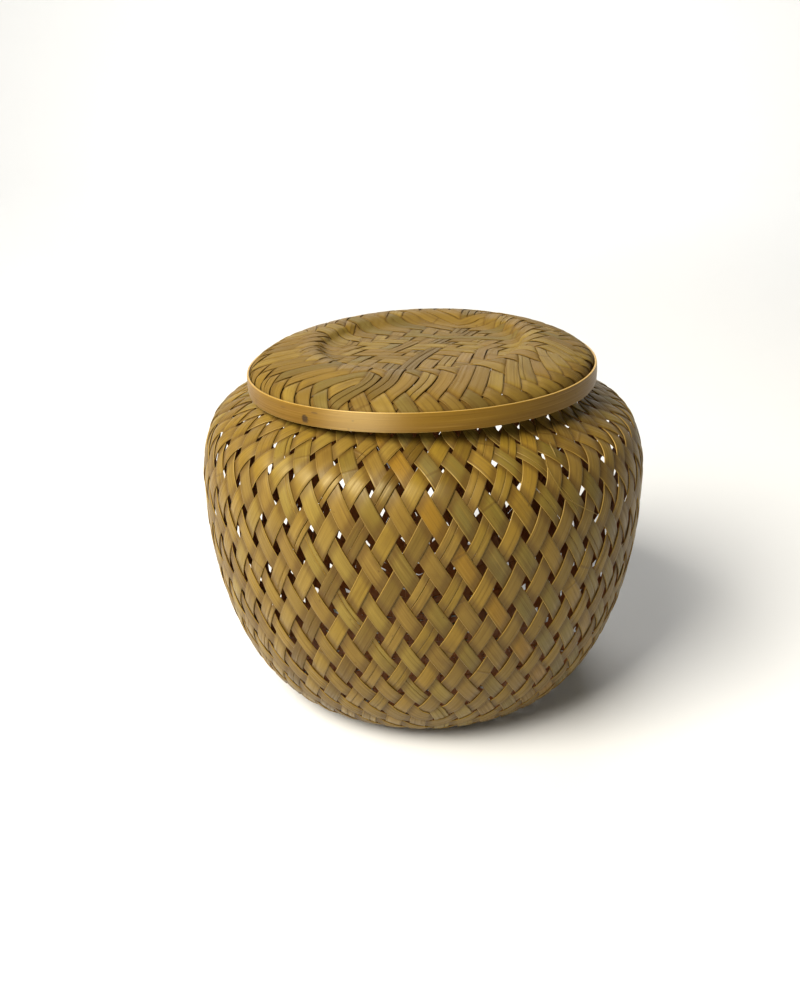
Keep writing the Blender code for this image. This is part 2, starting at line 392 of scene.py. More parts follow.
class Web:
    """A material's nodes, made by short calls."""

    def __init__(self, name: str) -> None:
        """Start a material that holds one Principled shader.

        Args:
            name: The material's name.
        """
        self.material = bpy.data.materials.new(name)
        self.material.use_nodes = True
        self.tree = self.material.node_tree
        self.shader = self.tree.nodes["Principled BSDF"]

    def node(self, kind: str, **settings: object) -> bpy.types.Node:
        """A new node.

        Args:
            kind: Blender's name for its type, without the words in front that all of them share.
            settings: The settings that aren't left as they are.

        Returns:
            The node.
        """
        node = self.tree.nodes.new(f"ShaderNode{kind}")
        for name, value in settings.items():
            setattr(node, name, value)
        return node

    def feed(self, socket: Socket, value: object) -> None:
        """Link a socket to another node's output, or set it to a plain value.

        Args:
            socket: The socket.
            value: The other node's output, or the value.
        """
        if isinstance(value, Socket):
            self.tree.links.new(value, socket)
        else:
            socket.default_value = value

    def fill(self, node: bpy.types.Node, inputs: dict[str, object]) -> None:
        """Feed a node's inputs by their names."""
        for name, value in inputs.items():
            self.feed(node.inputs[name], value)

    def attribute(self, name: str, output: str = "Fac") -> Socket:
        """An attribute of the mesh."""
        return self.node("Attribute", attribute_name=name).outputs[output]

    def fibre(self, scale: tuple[float, float], shift: tuple[float, float] = (0.0, 0.0)) -> Socket:
        """The piece's fibre coordinates, moved and then stretched.

        Args:
            scale: Repeats in a metre, across and along the fibres.
            shift: What is added first, in metres.

        Returns:
            The vector's socket.
        """
        moved = self.node("VectorMath", operation="MULTIPLY_ADD")
        self.feed(moved.inputs[0], self.node("UVMap", uv_map="Fibre").outputs["UV"])
        self.feed(moved.inputs[1], (*scale, 0.0))
        self.feed(moved.inputs[2], (shift[0] * scale[0], shift[1] * scale[1], 0.0))
        return moved.outputs[0]

    def noise(self, grain: Grain) -> Socket:
        """A grain's pattern.

        Args:
            grain: The grain.

        Returns:
            The socket of its value, about 0.5 on average.
        """
        node = self.node("TexNoise")
        vector = self.fibre((grain.across, grain.along), (grain.seed, grain.seed))
        self.fill(node, {"Vector": vector, "Scale": 1.0, "Detail": grain.detail, "Roughness": grain.rough})
        return node.outputs["Fac"]

    def math(self, operation: str, first: object, second: object = 0.0) -> Socket:
        """What a calculation with one or two values gives.

        Args:
            operation: Blender's name for the calculation.
            first: The first value.
            second: The second value, which some calculations leave unread.

        Returns:
            The result's socket.
        """
        node = self.node("Math", operation=operation)
        self.feed(node.inputs[0], first)
        self.feed(node.inputs[1], second)
        return node.outputs[0]

    def ramp(
        self, value: object, low: float, high: float, least: float = 0.0, most: float = 1.0
    ) -> Socket:
        """A value spread smoothly from one range onto another and held at its ends.

        Args:
            value: What is spread.
            low: The value that gives least.
            high: The value that gives most.
            least: The result at low.
            most: The result at high.

        Returns:
            The result's socket.
        """
        node = self.node("MapRange", interpolation_type="SMOOTHSTEP")
        self.fill(node, {"Value": value, "From Min": low, "From Max": high})
        self.fill(node, {"To Min": least, "To Max": most})
        return node.outputs["Result"]

    def mix(self, share: object, under: object, over: object) -> Socket:
        """Two colours mixed.

        Args:
            share: How much of the second, from 0 to 1.
            under: The first colour.
            over: The second colour.

        Returns:
            The colour's socket.
        """
        node = self.node("Mix", data_type="RGBA")
        self.feed(node.inputs["Factor"], share)
        for name, given in (("A", under), ("B", over)):
            socket = next(s for s in node.inputs if s.name == name and s.type == "RGBA")
            self.feed(socket, (*given, 1.0) if isinstance(given, tuple) else given)
        return next(s for s in node.outputs if s.type == "RGBA")

    def stained(self, colour: object, *stains: Stain) -> Socket:
        """A colour with stains over it, one after another.

        Args:
            colour: The colour below.
            stains: The stains.

        Returns:
            The colour's socket.
        """
        for stain in stains:
            shows = self.ramp(stain.pattern, stain.start, stain.full, 0.0, stain.share)
            colour = self.mix(shows, colour, stain.colour)
        return colour

    def skin(self, colour: object, rough: object) -> None:
        """Give the shader its colour and its roughness."""
        self.fill(self.shader, {"Base Color": colour, "Roughness": rough})

    def rough_by(self, pattern: Socket, roughness: float, spread: tuple[float, float]) -> Socket:
        """A roughness that follows a pattern.

        Args:
            pattern: The pattern, whose middle values count.
            roughness: The usual roughness.
            spread: How far it goes down and up from there.

        Returns:
            The roughness's socket.
        """
        smoothest, roughest = roughness + spread[0], roughness + spread[1]
        return self.ramp(pattern, low=0.3, high=0.7, least=smoothest, most=roughest)

    def sheen_across(self, strength: float, level: float, tint: Colour) -> None:
        """Stretch the highlights across the fibres, as their fine grooves do.

        Args:
            strength: How much they are stretched, from 0 to 1.
            level: How strong they are; 0.5 is a plain varnish.
            tint: Their colour.
        """
        tangent = self.node("Tangent", direction_type="UV_MAP", uv_map="Fibre").outputs["Tangent"]
        self.fill(self.shader, {"Tangent": tangent, "Anisotropic": strength})
        self.fill(self.shader, {"Specular IOR Level": level, "Specular Tint": (*tint, 1.0)})

    def bump(self, height: object, depth: float) -> None:
        """Make the surface uneven.

        Args:
            height: The pattern of its height.
            depth: How high a value of 1 stands, in metres.
        """
        node = self.node("Bump")
        self.fill(node, {"Distance": depth, "Strength": 1.0, "Height": height})
        self.feed(self.shader.inputs["Normal"], node.outputs["Normal"])


@dataclass(frozen=True)
class SplintFinish:
    """Split bamboo: streaked along its fibres, paler at its edges and crossed by a node now and then.

    Attributes:
        name: The material's name.
        streak: How strongly the fibres show, from 0 to 1.
        roughness: The surface's roughness.
        sheen: How strong its highlights are.
        age: How far the colour goes towards dull brown, from 0 to 1.
        node_gap: Metres between two nodes of the bamboo.
        bare_edge_and_highlight: How pale its edges are, from 0 to 1, partly bare fibre and partly
            painted highlight.
        least_bare_and_highlight: The share of that which is left where the broad streaks are low.
        hidden: The colour of the splint's hidden side.
        dark: The colour of stains, scratches and dark fibres, and of the painted shade where the
        splint goes in under its neighbours and beside its edges.
        pale: The colour of pale fibres, and of the edges, partly bare fibre and partly painted
        highlight.
        dull: The colour of weathered patches.
        glint: The colour of its highlights.
        stretch: How much those are stretched across the fibres, from 0 to 1.
        rough_range: How far its roughness goes down and up with the fibres.
        relief: How high its fibres stand, in metres.
        scar_width: Where the line at a node starts and is darkest, in node gaps from its middle.
        scar_share: How dark it is, from 0 to 1.
        scar_relief: How high it stands, against the fibres.
        broad: The grain of its broad streaks.
        fine: The grain of its fibres.
        cloud: The grain of its stains.
        speck: The grain of its small dark specks.
    """

    name: str
    streak: float
    roughness: float
    sheen: float
    age: float = 0.0
    node_gap: float = 0.21
    bare_edge_and_highlight: float = 0.8
    least_bare_and_highlight: float = 0.2
    hidden: Colour = linear(136, 80, 38)
    dark: Colour = linear(70, 45, 14)
    pale: Colour = linear(160, 130, 58)
    dull: Colour = linear(102, 78, 28)
    glint: Colour = (1.0, 0.89, 0.54)
    stretch: float = 0.5
    rough_range: tuple[float, float] = (-0.08, 0.12)
    relief: float = 0.00012
    scar_width: tuple[float, float] = (0.0040, 0.0012)
    scar_share: float = 0.40
    scar_relief: float = 1.5
    broad: Grain = Grain(across=380.0, along=13.0, detail=3.0, rough=0.55, seed=0.31)
    fine: Grain = Grain(across=1000.0, along=18.0, detail=4.0, rough=0.6, seed=0.73)
    cloud: Grain = Grain(across=120.0, along=55.0, detail=2.0, rough=0.5, seed=0.17)
    speck: Grain = Grain(across=700.0, along=330.0, detail=1.0, rough=0.5, seed=0.91)

    def material(self) -> bpy.types.Material:
        """Build the material.

        Each stain lies over the ones before it: weathered patches, dark fibres, pale fibres, clouds,
        the dull brown of age, specks, painted shade where the splint goes in under its neighbours,
        and a dark line of painted shade beside its edges. Then come the pale edges, partly bare
        fibre and partly painted highlight, the nodes and the hidden side.

        Returns:
            The material.
        """
        web = Web(self.name)
        broad, fine, cloud, speck = map(web.noise, (self.broad, self.fine, self.cloud, self.speck))
        edge = web.attribute("Edge")
        colour = web.stained(
            web.attribute("Tone", "Color"),
            Stain(broad, start=0.36, full=0.66, share=0.50 * self.streak, colour=self.dull),
            Stain(fine, start=0.50, full=0.72, share=0.75 * self.streak, colour=self.dark),
            Stain(fine, start=0.46, full=0.26, share=0.35 * self.streak, colour=self.pale),
            Stain(cloud, start=0.50, full=0.78, share=0.45, colour=self.dark),
        )
        colour = web.stained(
            web.mix(self.age, colour, self.dull),
            Stain(speck, start=0.73, full=0.79, share=0.65, colour=self.dark),
            # Painted shade where the splint goes in under its neighbours
            Stain(web.attribute("Sunk"), start=0.10, full=0.60, share=0.60, colour=self.dark),
            # Painted shade: a dark line beside the edges
            Stain(edge, start=0.72, full=0.90, share=0.30, colour=self.dark),
        )
        # The pale rim at the edges is partly bare fibre and partly a painted highlight
        least = self.least_bare_and_highlight * self.bare_edge_and_highlight
        bare_and_highlight = web.ramp(broad, low=0.38, high=0.60, least=least, most=self.bare_edge_and_highlight)
        rim = web.math("MULTIPLY", web.ramp(edge, low=0.90, high=0.99), bare_and_highlight)
        colour = web.mix(rim, colour, self.pale)
        scar = self.scar(web)
        colour = web.mix(scar, colour, self.dark)
        colour = web.mix(web.attribute("Under"), colour, self.hidden)
        web.skin(colour, web.rough_by(fine, self.roughness, self.rough_range))
        web.sheen_across(self.stretch, self.sheen, self.glint)
        web.bump(web.math("ADD", fine, web.math("MULTIPLY", scar, self.scar_relief)), self.relief)
        return web.material

    def scar(self, web: Web) -> Socket:
        """How strongly a node of the bamboo shows: a thin line across the fibres at every node gap.

        Args:
            web: The material's nodes.

        Returns:
            The socket of a value from 0 to its share.
        """
        parted = web.node("SeparateXYZ")
        web.feed(parted.inputs[0], web.fibre((1.0, 1.0)))
        phase = web.math("FRACT", web.math("MULTIPLY", parted.outputs["Y"], 1.0 / self.node_gap))
        away = web.math("ABSOLUTE", web.math("SUBTRACT", phase, 0.5))
        start, darkest = self.scar_width
        return web.ramp(away, start, darkest, most=self.scar_share)


@dataclass(frozen=True)
class Blemish:
    """A brown mark on a hoop.

    Attributes:
        along: Where it is along the hoop, in metres from the hoop's start.
        up: Where it is above the hoop's middle, in metres.
        length: Its length along the hoop, in metres.
        height: Its height, in metres.
        depth: How dark it is, from 0 to 1.
    """

    along: float
    up: float
    length: float
    height: float
    depth: float

    def shows(self, web: Web) -> Socket:
        """How strongly it shows: it fades with the distance from its middle, on a ragged edge.

        Args:
            web: The material's nodes.

        Returns:
            The socket of a value from 0 to its depth.
        """
        reach = web.node("VectorMath", operation="LENGTH")
        scale = (2.0 / self.height, 2.0 / self.length)
        web.feed(reach.inputs[0], web.fibre(scale, (-self.up, -self.along)))
        grain = Grain(across=1500.0, along=900.0, detail=2.0, rough=0.6, seed=self.along)
        ragged = web.math("ADD", reach.outputs["Value"], web.noise(grain))
        faintest, darkest = 1.45, 1.05
        return web.ramp(ragged, faintest, darkest, most=self.depth)


@dataclass(frozen=True)
class HoopFinish:
    """The polished outer skin of a bamboo strip, with fine grain and a few brown marks.

    Attributes:
        name: The material's name.
        honey: The usual colour.
        amber: The colour of its darker stretches.
        brown: The colour of marks and dark fibres.
        pale: The colour of pale fibres and of its edges, partly worn and partly painted highlight.
        inside: The colour of the strip's inner face.
        glint: The colour of its highlights.
        roughness: The surface's roughness.
        sheen: How strong its highlights are.
        polish: The index of refraction of its skin, higher for a waxier one.
        marks: The brown marks.
        stretch: How much its highlights are stretched across the fibres, from 0 to 1.
        rough_range: How far its roughness goes down and up with the fibres.
        relief: How high its fibres stand, in metres.
        broad: The grain of its darker stretches.
        fine: The grain of its fibres.
        fleck: The grain of its small flecks.
    """

    name: str
    honey: Colour = linear(114, 83, 16)
    amber: Colour = linear(102, 71, 10)
    brown: Colour = linear(44, 24, 6)
    pale: Colour = linear(176, 140, 66)
    inside: Colour = linear(104, 72, 34)
    glint: Colour = (1.0, 0.80, 0.42)
    roughness: float = 0.48
    sheen: float = 0.9
    polish: float = 1.6
    marks: tuple[Blemish, ...] = ()
    stretch: float = 1.0
    rough_range: tuple[float, float] = (-0.05, 0.10)
    relief: float = 0.00008
    broad: Grain = Grain(across=160.0, along=9.0, detail=2.0, rough=0.5, seed=0.21)
    fine: Grain = Grain(across=1900.0, along=16.0, detail=3.0, rough=0.55, seed=0.47)
    fleck: Grain = Grain(across=900.0, along=240.0, detail=1.0, rough=0.5, seed=0.63)

    def material(self) -> bpy.types.Material:
        """Build the material.

        Each stain lies over the ones before it: darker stretches, dark fibres, pale fibres, flecks
        and the pale edges, partly worn and partly painted highlight. Then come the marks and the
        inner face.

        Returns:
            The material.
        """
        web = Web(self.name)
        broad, fine, fleck = map(web.noise, (self.broad, self.fine, self.fleck))
        colour = web.stained(
            self.honey,
            Stain(broad, start=0.34, full=0.66, share=1.0, colour=self.amber),
            Stain(fine, start=0.54, full=0.78, share=0.45, colour=self.brown),
            Stain(fine, start=0.44, full=0.26, share=0.30, colour=self.pale),
            Stain(fleck, start=0.73, full=0.79, share=0.45, colour=self.brown),
            # The edges: partly worn pale fibre and partly a painted highlight
            Stain(web.attribute("Edge"), start=0.93, full=0.995, share=0.75, colour=self.pale),
        )
        for mark in self.marks:
            colour = web.mix(mark.shows(web), colour, self.brown)
        colour = web.mix(web.attribute("Under"), colour, self.inside)
        web.skin(colour, web.rough_by(fine, self.roughness, self.rough_range))
        web.sheen_across(self.stretch, self.sheen, self.glint)
        web.feed(web.shader.inputs["IOR"], self.polish)
        web.bump(fine, self.relief)
        return web.material


# The plait


@dataclass(frozen=True)
class RoundForm:
    """A surface of revolution, known by the distance along its section from the middle.

    Attributes:
        section: Radius and height of the section's points, from the middle outwards.
        lift: What is added to every height.
        facing: 1 where the outside of the middle looks down, as a bowl's does, and -1 where it looks up.
        fineness: Points on each smoothed stretch of the section.
    """

    section: tuple[tuple[float, float], ...]
    lift: float = 0.0
    facing: float = 1.0
    fineness: int = 160

    @cached_property
    def curve(self) -> tuple[Floats, Floats]:
        """The section, smoothed.

        The curve is a cubic Hermite one: over each stretch, with t from 0 to 1, it is
        (2t^3-3t^2+1)a + (t^3-2t^2+t)u + (3t^2-2t^3)b + (t^3-t^2)v, where a and b are its ends and u and v
        the slopes there, which are the means of the neighbouring stretches' slopes, weighted towards
        the shorter one. The first stretch stays straight.

        Returns:
            Radius and height of its points, and their distances from the middle along it.
        """
        p = np.array(self.section)
        length = np.hypot(*np.diff(p, axis=0).T)
        slope = np.diff(p, axis=0) / length[:, None]
        mean = slope[:-1] * length[1:, None] + slope[1:] * length[:-1, None]
        mean /= (length[1:] + length[:-1])[:, None]
        tangent = np.vstack([slope[:1], slope[:1], mean[1:], slope[-1:]])
        t = np.linspace(0.0, 1.0, self.fineness, endpoint=False)[:, None, None]
        a, b = p[:-1], p[1:]
        u, v = tangent[:-1] * length[:, None], tangent[1:] * length[:, None]
        curve = (2 * t**3 - 3 * t**2 + 1) * a + (t**3 - 2 * t**2 + t) * u
        curve = curve + (3 * t**2 - 2 * t**3) * b + (t**3 - t**2) * v
        curve = np.vstack([curve.transpose(1, 0, 2).reshape(-1, 2), p[-1:]])
        curve[:, 1] += self.lift
        return curve, run_along(curve)

    @property
    def length(self) -> float:
        """How long the section is."""
        return float(self.curve[1][-1])

    def section_at(self, distance: Floats) -> tuple[Floats, Floats]:
        """The section at some distances; past its end it goes straight on.

        Args:
            distance: Distances from the middle.

        Returns:
            The radii and the heights there.
        """
        curve, along = self.curve
        end = curve[-1] - curve[-2]
        past = np.maximum(distance - along[-1], 0.0) / np.hypot(*end)
        radius = np.interp(distance, along, curve[:, 0]) + past * end[0]
        return radius, np.interp(distance, along, curve[:, 1]) + past * end[1]

    def place(self, turn: Floats, distance: Floats) -> Floats:
        """The points at angles and at distances from the middle."""
        radius, height = self.section_at(distance)
        return turned(radius, turn, height)

    def outward(self, turn: Floats, distance: Floats) -> Floats:
        """The directions square to the surface: (z' cos a, z' sin a, -r') over its length.

        Args:
            turn: Angles.
            distance: Distances from the middle.

        Returns:
            The directions, of length 1.
        """
        tiny = 0.0008
        near, far = self.section_at(distance - tiny), self.section_at(distance + tiny)
        run, rise = self.facing * (far[0] - near[0]), self.facing * (far[1] - near[1])
        size = np.hypot(run, rise)
        return turned(rise / size, turn, -run / size)


@dataclass(frozen=True)
class Mat:
    """A square mat of splints that is drawn over a round form.

    A position in the mat is x, y, which count splints from its middle. Past the mat's edge, a splint
    keeps its own number and its other coordinate counts on up the wall, one for each row of crossings.

    Attributes:
        form: The round form.
        pitch: Distance between the splints on the flat of the mat.
        lean_at_edge: The splints' lean where they leave the mat, from the level.
        lean_on_wall: Their lean further up.
        rows_to_full_lean: Rows over which the one goes over into the other.
        turn: How far the whole mat is turned about Z.
        twist_per_row: How far each row of the wall is turned against the one below.
        axes: Directions of the warp and the weft in the middle of the mat, before the turn.
        half: Splints from the middle to the edge.
        bend_reach: How far around it a place looks to soften the bend at the mat's edge, in splints.
        bend_rows: Rows over which the softening fades, to either side of the edge.
        bend_share: How strong it is at the edge, from 0 to 1.
    """

    form: RoundForm
    pitch: float
    lean_at_edge: float
    lean_on_wall: float
    rows_to_full_lean: float
    turn: float
    twist_per_row: float = 0.0
    axes: tuple[float, float] = (0.0, RIGHT_ANGLE)
    half: int = 13
    bend_reach: float = 0.55
    bend_rows: float = 1.4
    bend_share: float = 0.8

    @property
    def step(self) -> float:
        """The angle round the box between two splints of one family."""
        return RIGHT_ANGLE / self.half

    @cached_property
    def rows(self) -> tuple[Floats, Floats]:
        """The rows of crossings, in fine steps.

        A row climbs by tan(lean) times the radius times half the angle between two splints.

        Returns:
            The rows, and their distances from the middle of the form.
        """
        fine, row, distance = 0.01, 0.0, self.half * self.pitch
        found = [(row, distance)]
        while distance < self.form.length + 2 * self.pitch:
            share = min(row / self.rows_to_full_lean, 1.0)
            lean = self.lean_at_edge + (self.lean_on_wall - self.lean_at_edge) * share
            radius = float(self.form.section_at(np.array(distance))[0])
            distance += fine * math.tan(lean) * radius * self.step / 2
            row += fine
            found.append((row, distance))
        rows, distances = np.array(found).T
        return rows, distances

    def row_below_end(self, gap: float) -> float:
        """The row, counted in fractions, that lies a gap short of the form's end."""
        return float(np.interp(self.form.length - gap, self.rows[1], self.rows[0]))

    def polar(self, x: Floats, y: Floats, corner: Corner) -> tuple[Floats, Floats]:
        """Angle and distance of mat positions.

        On the mat, ring = |x| + |y|, and both the angle and the distance go over from those of the
        flat mat, near the middle, to those of round rings, near the edge, by the smooth step of
        ring / half. On the wall, the angle is half the step times (y + half - x).

        Args:
            x: Positions along the warp.
            y: Positions along the weft.
            corner: The signs of x and y in the corner of the mat that is drawn up there.

        Returns:
            The angles and the distances.
        """
        across, deep = x * corner[0], y * corner[1]
        row = across + deep - self.half
        ring = np.abs(across) + np.abs(deep)
        blend = smooth_step(ring / self.half)
        angle = RIGHT_ANGLE * np.abs(deep) / np.maximum(ring, 1e-9)
        angle = np.where(across < 0, math.pi - angle, angle)
        angle = np.where(deep < 0, -angle, angle)
        angle = np.where(row < 0, angle, self.step * (deep + self.half - across) / 2)
        angle = np.where(corner[0] < 0, math.pi - angle, angle)
        angle = np.where(corner[1] < 0, -angle, angle)
        first, second = self.axes
        flat_x = x * math.cos(first) + y * math.cos(second)
        flat_y = x * math.sin(first) + y * math.sin(second)
        off = (np.arctan2(flat_y, flat_x) - angle + math.pi) % math.tau - math.pi
        flat = np.hypot(flat_x, flat_y) / math.sin(second - first)
        on_mat = self.pitch * ((1 - blend) * flat + blend * ring)
        distance = np.where(row < 0, on_mat, np.interp(row, *self.rows))
        angle = angle + np.where(row < 0, (1 - blend) * off, 0.0)
        return angle + self.turn + self.twist_per_row * np.maximum(row, 0.0), distance

    def place(self, x: Floats, y: Floats, corner: Corner) -> Floats:
        """The points of mat positions.

        Near the mat's edge they go over towards the mean of four places around them, by
        bend_share * exp(-(row / bend_rows)^2), so that a splint bends there instead of breaking.

        Args:
            x: Positions along the warp.
            y: Positions along the weft.
            corner: The signs of x and y in that corner of the mat.

        Returns:
            The points, with a last axis of three.
        """
        row = x * corner[0] + y * corner[1] - self.half
        share = np.exp(-((row / self.bend_rows) ** 2))[..., None] * self.bend_share
        point = self.form.place(*self.polar(x, y, corner))
        reach = self.bend_reach
        shifts = ((reach, 0.0), (-reach, 0.0), (0.0, reach), (0.0, -reach))
        around = sum(self.form.place(*self.polar(x + a, y + b, corner)) for a, b in shifts) / 4
        return point + share * (around - point)

    def outward(self, x: Floats, y: Floats, corner: Corner) -> Floats:
        """The directions square to the form at mat positions."""
        return self.form.outward(*self.polar(x, y, corner))


@dataclass(frozen=True)
class Course:
    """The way of one splint through its mat.

    Attributes:
        mat: The mat.
        number: The splint's place in it.
        side: Warp or weft.
        along: Stations along the splint, counted in crossings from its middle.
    """

    mat: Mat
    number: float
    side: Side
    along: Floats

    @property
    def row(self) -> Floats:
        """The row of the wall at each station, below zero on the mat."""
        return np.abs(self.along) + abs(self.number) - self.mat.half

    def beside(self, measure: Measure, ahead: float = 0.0, aside: float | Floats = 0.0) -> Floats:
        """What the mat measures at the stations or beside them.

        Args:
            measure: The mat's way to measure: its place or its outward.
            ahead: How far in front of each station, in crossings.
            aside: How far to its side, in crossings.

        Returns:
            The measures, in the shape (stations, points beside each, 3).
        """
        run, across = self.along[:, None] + ahead, self.number + aside
        signs = (np.where(self.along < 0, -1.0, 1.0)[:, None], np.copysign(1.0, self.number))
        if self.side is Side.WARP:
            return measure(run, across + 0 * run, signs)
        return measure(across + 0 * run, run, signs[::-1])

    @cached_property
    def slopes(self) -> tuple[Floats, Floats]:
        """How the place changes with each crossing: the difference of two near ones over their gap.

        Returns:
            The change along the splint and the change to its side, each in the shape (stations, 3).
        """
        tiny, place = 0.02, self.mat.place
        forward = self.beside(place, ahead=tiny) - self.beside(place, ahead=-tiny)
        sideways = self.beside(place, aside=tiny) - self.beside(place, aside=-tiny)
        return forward[:, 0] / (2 * tiny), sideways[:, 0] / (2 * tiny)

    @cached_property
    def pace(self) -> Floats:
        """Metres along the splint for each crossing."""
        return np.linalg.norm(self.slopes[0], axis=1)

    @property
    def space(self) -> Floats:
        """Metres from its middle to the middle of the next splint, measured square to it."""
        return np.linalg.norm(np.cross(*self.slopes), axis=1) / self.pace

    @property
    def skew(self) -> Floats:
        """Metres along the splint for each crossing to its side."""
        return np.einsum("ij,ij->i", *self.slopes) / self.pace

    @property
    def distance(self) -> Floats:
        """Metres along the splint from its start."""
        steps = (self.pace[1:] + self.pace[:-1]) / 2 * np.diff(self.along)
        return np.concatenate([[0.0], np.cumsum(steps)])


@dataclass(kw_only=True)
class Plait:
    """How the splints of one mat are cut and woven.

    Attributes:
        mat: Where they go.
        width: A splint's width.
        thickness: Its thickness.
        rise: How far its middle goes to either side of the mat where it crosses another.
        widest: The largest share of the space from one splint to the next that its width takes.
        spring: Share of the way between two crossings over which it changes sides.
        end_gap: How far the splints' ends stay short of the form's end.
        narrow_rows: Rows of the wall between which a splint narrows.
        narrow_shares: The share of its width that it keeps at each of them.
        seed: The number that its chance starts from.
        wander: How it strays sideways, in crossings.
        bounce: How it strays in height, in shares of the rise.
        lilt: How its edges tilt up and down, in metres.
        swell: How its width swells and shrinks along it, in shares of uneven.
        uneven: How much the splints differ in width, as a share of it.
        fattest: The most that all this leaves of its width, as a share.
        split_share: The share of the splints that have split lengthwise.
        split_reach: How far from its middle a splint may split, as a share of half its width.
        split_step: How far one part may lie above the middle, and the other one below it.
        split_gap: Half the gap between them where it is closest, as a share of half the width.
        split_widest: How much wider that gets.
        split_gape: How it opens and closes along the splint, in shares of split_widest.
        crown: How much thicker it is in the middle than at its edges, as a share.
        roundness: How round its section is, from 0, a rectangle, to 1, an ellipse.
        samples: Stations from one crossing to the next.
        ring: Points around its section.
    """

    mat: Mat
    width: float
    thickness: float
    rise: float
    widest: float
    spring: float
    end_gap: float
    narrow_rows: tuple[float, ...]
    narrow_shares: tuple[float, ...]
    seed: int
    wander: Wave = Wave(strength=0.03, period=7.0)
    bounce: Wave = Wave(strength=0.10, period=3.5)
    lilt: Wave = Wave(strength=0.00010, period=4.0)
    swell: Wave = Wave(strength=1.5, period=9.0)
    uneven: float = 0.02
    fattest: float = 1.05
    split_share: float = 0.4
    split_reach: float = 0.45
    split_step: float = 0.0001
    split_gap: float = 0.012
    split_widest: float = 0.03
    split_gape: Wave = Wave(strength=1.0, period=11.0)
    crown: float = 0.12
    roundness: float = 0.24
    samples: int = 8
    ring: int = 12

    def over(self, x: Floats, y: Floats) -> Flags:
        """Whether the warp lies outside at a crossing: here, at every other one, as in plain plait."""
        return (np.floor(x) + np.floor(y)) % 2 == 0

    def end(self, number: float) -> float:
        """How far from its middle a splint reaches, counted in crossings."""
        return self.mat.half + self.mat.row_below_end(self.end_gap) - abs(number)

    def sign(self, number: float, crossing: Floats, side: Side) -> Floats:
        """1 where a splint lies outside at a crossing, and -1 where it lies inside.

        Args:
            number: The splint's place in the mat.
            crossing: Crossings along it.
            side: Warp or weft.

        Returns:
            The signs.
        """
        own = np.full_like(crossing, number)
        over = self.over(crossing, own) if side is Side.WARP else ~self.over(own, crossing)
        return np.where(over, 1.0, -1.0)

    def height(self, course: Course) -> Floats:
        """How far outside or inside of the mat a splint lies, as a share of the rise.

        Between two crossings it goes from the one side to the other by half a cosine, over the
        middle part of the way, whose length is the plait's spring.

        Args:
            course: The splint's way.

        Returns:
            Values from -1, inside, to 1, outside.
        """
        before = np.floor(course.along - 0.5)
        part = np.clip((course.along - 0.5 - before - 0.5) / self.spring + 0.5, 0.0, 1.0)
        first = self.sign(course.number, before + 0.5, course.side)
        second = self.sign(course.number, before + 1.5, course.side)
        return first + (second - first) * (1 - np.cos(math.pi * part)) / 2

    def cuts(self, rng: np.random.Generator) -> list[tuple[float, float, float]]:
        """Whether and where a splint has split lengthwise.

        Args:
            rng: Where the chance comes from.

        Returns:
            Each part's left and right edge, from -1 to 1, and how far it lies above the splint's
            middle, which is below zero for one under it.
        """
        if rng.random() >= self.split_share:
            return [(-1.0, 1.0, 0.0)]
        middle = rng.uniform(-self.split_reach, self.split_reach)
        left = (-1.0, middle, rng.uniform(0.0, self.split_step))
        return [left, (middle, 1.0, rng.uniform(-self.split_step, 0.0))]

    def splint(self, number: float, side: Side, tone: Colour) -> list[Strip]:
        """The strips of one splint: one, or two where it has split lengthwise.

        A point of the section, at u from -1 to 1 across it, lies u * share + stray crossings beside
        the splint's middle, and above the mat by the rise, half the crowned thickness and the tilt.

        Args:
            number: Its place in the mat.
            side: Warp or weft.
            tone: Its colour.

        Returns:
            The strips.
        """
        rng = np.random.default_rng([self.seed, int(number * 2 + 100), list(Side).index(side)])
        end = self.end(number)
        count = int(2 * end * self.samples)
        course = Course(self.mat, number, side, np.linspace(-end, end, count + count % 2))
        along, space = course.along, course.space[:, None]
        loose = 1 + self.uneven * (self.swell.values(along, rng) + rng.normal())
        kept = np.interp(course.row, self.narrow_rows, self.narrow_shares) * loose.clip(0.0, self.fattest)
        share = np.minimum(self.width / space, self.widest) / 2 * kept[:, None]
        stray = self.wander.values(along, rng)[:, None]
        height = self.height(course)[:, None]
        rise = self.rise * (height + self.bounce.values(along, rng)[:, None])
        tilt = self.lilt.values(along, rng)[:, None]
        start = rng.uniform(0.0, FIBRE_SPAN, 2)
        cuts = self.cuts(rng)
        gape = np.clip(self.split_gape.values(along, rng), 0.0, 1.0)[:, None]
        gap = self.split_gap + self.split_widest * gape
        across, up = superellipse(self.ring, self.roundness)
        half_thick = up * (1 + self.crown * (1 - across**2)) * self.thickness / 2
        out = course.beside(self.mat.outward)
        strips = []
        for left, right, step in cuts:
            low = left + gap * (left > -1.0)
            high = right - gap * (right < 1.0)
            u = (low + high) / 2 + (high - low) / 2 * across
            lateral = u * share + stray
            lift = rise + step + half_thick + tilt * u
            run = course.distance[:, None] + lateral * course.skew[:, None] + start[1]
            strips.append(
                Strip(
                    points=course.beside(self.mat.place, aside=lateral) + out * lift[..., None],
                    fibre=np.stack([lateral * space + start[0], run], axis=-1),
                    edge=np.broadcast_to(np.abs(across), u.shape),
                    under=np.broadcast_to(hidden_share(up, gain=1.4), u.shape),
                    sunk=np.broadcast_to(np.clip(0.5 - height / 2, 0.0, 1.0), u.shape),
                    tone=tone,
                )
            )
        return strips


